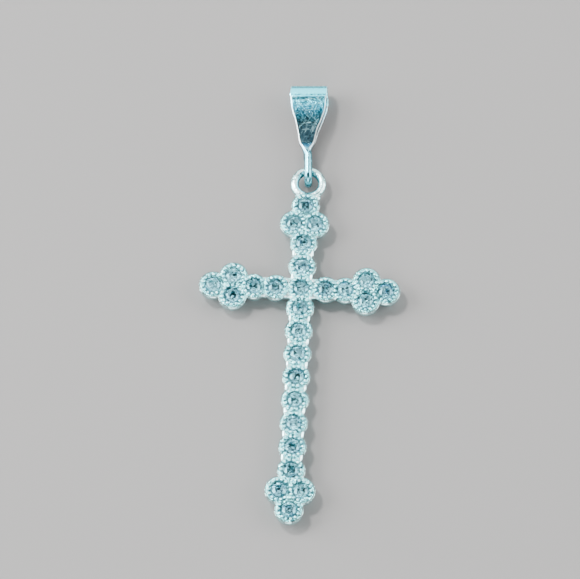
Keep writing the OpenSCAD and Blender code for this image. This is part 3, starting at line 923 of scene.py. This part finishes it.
def rim_grains():
    kept = []
    order = ["middle"] + [f"{arm}_{s}" for arm, (_, n) in ARMS.items()
                          for s in [*range(1, n + 1), "bud_a", "bud_b", "tip"]]
    ring = {name: bead_ring(d) for name, *_, d in cups}
    for name in order:
        for k in range(GRAINS):
            a = math.radians(DIRECTION[name.split("_")[0]] + (k + 0.5) * 360 / GRAINS)
            p = where[name] + Vector((math.cos(a), math.sin(a), 0)) * ring[name]
            crowded = any(other != name and (p - where[other]).length
                          < ring[other] - CROWD_SLACK * GRAIN_D for other in order)
            if not crowded and all((p - q).length >= GRAIN_ROOM * GRAIN_D or o == name
                                   for q, o in kept):
                kept.append((p, name))
    return [p for p, _ in kept]


grain_places = rim_grains()
print("grains:", len(grain_places))

# %% [markdown]
# Ready-made balls would do, but a grain is repeated hundreds of times, so it is only half a ball
# with few faces. The tree sets it on every place, and a fixed seed makes some a little smaller, as
# hand work does.

# %% Grow the grains
GRAIN_LIFT, DOME_DEGREES, GRAIN_STEPS = 0.02, (0, 34, 66, 98), 12
grain_tree, grain_given = new_tree("beaded_rims", [
    ("Grain", "Object"), ("Least size", "Float"), ("Largest size", "Float"), ("Seed", "Int"),
    ("Finish", "Material")])
size = add(grain_tree, "FunctionNodeRandomValue", [
    ("Seed", grain_given["Seed"]), (2, grain_given["Least size"]),
    (3, grain_given["Largest size"])], data_type="FLOAT")
grains_set = repeat(grain_tree, grain_given, grain_given["Geometry"], "Grain",
                    ("Scale", size.outputs[1]))
end_tree(grain_tree, grain_given,
         add(grain_tree, "GeometryNodeSetShadeSmooth", [("Geometry", grains_set)]).outputs[0])

dome = [(GRAIN_D / 2 * math.sin(math.radians(t)), GRAIN_D / 2 * math.cos(math.radians(t)))
        for t in DOME_DEGREES]
grain_blank = lathe("grain_blank", dome + [(0, dome[-1][1])], GRAIN_STEPS)
grains = points_object("rim_grains",
                       [p + Vector((0, 0, RIM_Z + GRAIN_LIFT)) for p in grain_places])
grow(grains, grain_tree, {"Grain": grain_blank, "Least size": 0.93, "Largest size": 1.0,
                          "Seed": 7, "Finish": bead_silver})
drop(grain_blank)
print("faces of the grains:", len(grains.data.polygons))

# %% [markdown]
# ## The bail
# The bail is one strip of sheet. It tapers, folds over for the chain, and its two ends run out into
# a wire tongue that loops through the ring. A flat sheet could be bent with modifiers, but it would
# not turn into wire at its ends. So the shape follows a path: each station has a place, a width and
# a thickness, and the corners go from softly broken on the sheet to round on the wire. `LEAF` gives
# the width and `BEND` the sideways bend, both as shares of the full width, by how far down the leaf
# a station is.

# %% Sizes of the bail
LEAF = [(0, 1), (0.05, 0.965), (0.25, 0.89), (0.41, 0.725), (0.6, 0.525), (0.81, 0.4),
        (0.91, 0.25), (1, 0.2)]
BEND = [(0, 0), (0.4, 0), (0.6, 0.03), (0.91, 0.035), (1, 0)]
BAIL_W, BAIL_LEN, BAIL_T, BAIL_DEPTH, TONGUE_D = 3.75, 9.2, 0.45, 2.7, 0.76
BAIL_GAP, SLACK, BAIL_LEAN, BAIL_OFF = 0.08, 0.42, 2.6, 0.08
BACK_SHIFT, BACK_EARLY, LEAF_SHARE, THICK_FROM = 0.2, 0.85, 0.83, 0.75
wire_y = ring_middle.y + ring_r
fold_r = (BAIL_DEPTH - BAIL_T) / 2
fold_y = wire_y + BAIL_LEN - BAIL_DEPTH / 2
loop_r = (RING_WIRE + TONGUE_D) / 2 + BAIL_GAP
loop_y = wire_y - SLACK
leaf_len = LEAF_SHARE * (fold_y - wire_y)
early_share = BACK_EARLY / leaf_len
print("fold at y", round(fold_y, 2), "leaf", round(leaf_len, 2), "mm long")

# %% [markdown]
# The outline of the leaf is one flowing line. A smooth curve through a few measured rows gives it,
# where straight steps between them would show as corners in the bright edge.

# %% Curves down the leaf
def ease(t):
    t = min(max(t, 0), 1)
    return t * t * (3 - 2 * t)


def smooth_curve(table, share):
    """A smooth curve through the rows of a table."""
    i = max(k for k in range(len(table) - 1) if table[k][0] <= share)
    rows = [table[max(i - 1, 0)], table[i], table[i + 1], table[min(i + 2, len(table) - 1)]]
    gap = rows[2][0] - rows[1][0]
    t = (share - rows[1][0]) / gap
    slope = [(rows[k + 1][1] - rows[k - 1][1]) / (rows[k + 1][0] - rows[k - 1][0]) * gap
             for k in (1, 2)]
    a, b = rows[1][1], rows[2][1]
    return (a + slope[0] * t + (3 * (b - a) - 2 * slope[0] - slope[1]) * t ** 2
            + (2 * (a - b) + slope[0] + slope[1]) * t ** 3)


def leaf_width(share):
    return max(smooth_curve(LEAF, share) * BAIL_W, TONGUE_D)


def leaf_thick(share):
    return BAIL_T + (TONGUE_D - BAIL_T) * ease((share - THICK_FROM) / (1 - THICK_FROM))


def leaf_bend(share):
    return -smooth_curve(BEND, share) * BAIL_W


print("width at half the leaf:", round(leaf_width(0.5), 2), "mm")

# %% [markdown]
# The path starts at the tongue, climbs the front leaf, goes round the fold, comes back along the
# leaf at the back and closes with the loop round the ring's wire. Each station holds its y and z,
# the width and thickness there, the shift to the side and the heading.

# %% Stations along the strip
LEAF_STEPS, FOLD_STEPS, LOOP_STEPS = 72, 32, 24
front_z = RING_Z + loop_r
stations, down_leaf = [], []
for k in range(LEAF_STEPS + 1):
    share = 1 - k / LEAF_STEPS
    y = fold_y - share * leaf_len
    z = front_z + (BAIL_DEPTH / 2 + fold_r - front_z) * max(0, y - loop_y) / (fold_y - loop_y)
    stations.append((y, z, leaf_width(share), leaf_thick(share), leaf_bend(share), 0))
    down_leaf.append(share)
for k in range(1, FOLD_STEPS):
    part = k / FOLD_STEPS
    a = math.radians(90 - 180 * part)
    stations.append((fold_y + fold_r * math.cos(a), BAIL_DEPTH / 2 + fold_r * math.sin(a),
                     leaf_width(part * early_share), BAIL_T, BACK_SHIFT * part, a - math.pi / 2))
    down_leaf.append(0)
for k in range(LEAF_STEPS + 1):
    share = k / LEAF_STEPS
    early = min(share + early_share, 1)
    thick = leaf_thick(early)
    stations.append((fold_y - share * leaf_len, thick / 2, leaf_width(early), thick,
                     BACK_SHIFT * (1 - ease(share)) + leaf_bend(share), -math.pi))
    down_leaf.append(share)
for k in range(LOOP_STEPS + 1):
    a = math.radians(-90 - 180 * k / LOOP_STEPS)
    stations.append((loop_y + loop_r * math.cos(a), RING_Z + loop_r * math.sin(a), TONGUE_D,
                     TONGUE_D, 0, a - math.pi / 2))
    down_leaf.append(1)
print("stations:", len(stations))

# %% [markdown]
# A section of the strip is a flat shape with four rounded corners. Its points are the same in
# number at every station, so each section can be joined to the next one. The points on the corners
# count as near an edge, and the finish paints a highlight on them.

# %% Section of the strip
CORNER, CORNER_STEPS, ACROSS = 0.07, 6, 10
ROUND_BELOW, CORNER_SHARE = 1.2, 0.95


def section(station):
    """Points round the strip, each with how near it is to an edge, from 0 to 1."""
    y, z, width, thick, shift, heading = station
    to_wire = ease(1 - (width - TONGUE_D) / ROUND_BELOW)
    corner = min(CORNER + (TONGUE_D / 2 - CORNER) * to_wire, thick / 2) * CORNER_SHARE
    half, rise = width / 2 - corner, thick / 2 - corner
    outline = []
    for sx, sh, start in ((1, 1, 90), (1, -1, 0), (-1, -1, -90), (-1, 1, -180)):
        for k in range(CORNER_STEPS + 1):
            a = math.radians(start - 90 * k / CORNER_STEPS)
            outline.append((sx * half + corner * math.cos(a), sh * rise + corner * math.sin(a), 1))
        if sx == sh:
            continue
        for k in range(1, ACROSS):
            outline.append((half * math.cos(math.pi * k / ACROSS) * -sh, sh * thick / 2, 0))
    return [(Vector((x + shift, y - h * math.sin(heading), z + h * math.cos(heading))), near)
            for x, h, near in outline]


rings = [section(station) for station in stations]
print("points in a section:", len(rings[0]))

# %% [markdown]
# The sections are joined, each to the next and the last to the first, which closes the loop round
# the ring. The bail hangs loose, so it has come to lie a little askew, and all of it leans.

# %% Sweep the strip
def leaned(p):
    """The bail leans a little to the left about the ring's wire."""
    a = math.radians(BAIL_LEAN)
    x, y = p.x, p.y - wire_y
    return Vector((ring_middle.x - BAIL_OFF + x * math.cos(a) - y * math.sin(a),
                   wire_y + x * math.sin(a) + y * math.cos(a), p.z))


n, m = len(rings[0]), len(rings)
bail_faces = [(i * n + k, (i + 1) % m * n + k, (i + 1) % m * n + (k + 1) % n, i * n + (k + 1) % n)
              for i in range(m) for k in range(n)]
bail = new_object("bail_strip", [leaned(p) for ring in rings for p, _ in ring], bail_faces,
                  merge=False)
store(bail, {"down_leaf": [share for share in down_leaf for _ in range(n)],
             "near_edge": [near for ring in rings for _, near in ring]})
bail.data.materials.append(bail_silver)
bail.data.polygons.foreach_set("use_smooth", [True] * len(bail.data.polygons))
print("bail:", len(bail.data.polygons), "faces")

# %% [markdown]
# ## Attach the pieces
# Every piece rides on the one body. The fine casting and its grains stand for the measured casting,
# and the fine strip stands for the measured bail.

# %% Ride and replace
for piece, node_name, slot in ((casting, "cross_frame", "cast_silver"),
                               (grains, "cross_frame", "cast_silver"),
                               (bail, "bail", "bail_silver")):
    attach(piece, "root")
    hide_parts(node_name)

# %% [markdown]
# ## The floor
# The pendant lies on matt grey paper, which lets its bright edges stand out. One large square is
# enough, because its own edges are far off.

# %% Paper
FLOOR_HALF, PAPER_COLOR, PAPER_ROUGH = 1500, (0.165, 0.163, 0.161, 1), 0.9
floor = new_object("floor", [(-FLOOR_HALF, -FLOOR_HALF, 0), (FLOOR_HALF, -FLOOR_HALF, 0),
                             (FLOOR_HALF, FLOOR_HALF, 0), (-FLOOR_HALF, FLOOR_HALF, 0)],
                   [(0, 1, 2, 3)])
paper, _, paper_shader, _ = start_material("paper")
paper_shader.inputs["Roughness"].default_value = PAPER_ROUGH
paper_shader.inputs["Base Color"].default_value = PAPER_COLOR
floor.data.materials.append(paper)
print("floor laid")

# %% [markdown]
# ## The light
# Polished silver shows whatever is round it. A picture of a studio could light it from all sides,
# but lamps can be moved one by one until each looks right in the metal. The two boxes on top leave
# a strip free between them, and the stones' flat tables mirror that dark strip. The back box
# reaches from high up to just above the floor, so that the bail's fold mirrors one unbroken band.
# The other boxes light bevels, crowns and the ring from the sides and from the front. The small key
# lamp gives the shadow, and the room itself is nearly dark, which is what gives the beads and
# facets their contrast.

# %% Soft boxes
SOFT_BOXES = [
    ("key", (-0.22, 0.16, 0.50), 0.09, 180.0, (1.0, 0.98, 0.97)),
    ("top_left", (-0.29, 0.26, 0.66), 0.36, 3.4),
    ("top_right", (0.29, 0.26, 0.66), 0.36, 2.7),
    ("back", (0.0, 0.628, 0.40), 0.86, 3.0),
    ("left", (-0.52, 0.06, 0.28), 0.46, 19.0),
    ("right", (0.52, 0.06, 0.28), 0.46, 9.5),
    ("front", (0.0, -0.58, 0.28), 0.40, 7.5),
    ("front_left", (-0.42, -0.40, 0.40), 0.34, 3.4),
    ("front_right", (0.42, -0.40, 0.40), 0.34, 2.6)]


def soft_box(name, spot, size, glow, tint=(1, 1, 1)):
    """A square lamp that faces the pendant. Its glow is what a mirror would show of it."""
    lamp = bpy.data.lights.new(name, "AREA")
    lamp.size = size
    lamp.energy = math.pi * size ** 2 * glow
    lamp.color = tint
    thing = bpy.data.objects.new(name, lamp)
    way = Vector((0, 0, 0)) - Vector(spot)
    thing.matrix_world = (Matrix.Translation(Vector(spot))
                          @ way.to_track_quat("-Z", "Y").to_matrix().to_4x4())
    bpy.context.scene.collection.objects.link(thing)


for box in SOFT_BOXES:
    soft_box(*box)
print("lamps:", len(SOFT_BOXES))

# %% [markdown]
# Where silver mirrors no lamp it shows the room, which has only a faint cool glow.

# %% The dark room
ROOM_COLOR, ROOM_GLOW = (0.42, 0.86, 0.95, 1), 0.03
room = bpy.data.worlds.new("room")
room.use_nodes = True
room.node_tree.nodes["Background"].inputs["Color"].default_value = ROOM_COLOR
room.node_tree.nodes["Background"].inputs["Strength"].default_value = ROOM_GLOW
bpy.context.scene.world = room
print("room glow:", ROOM_GLOW)
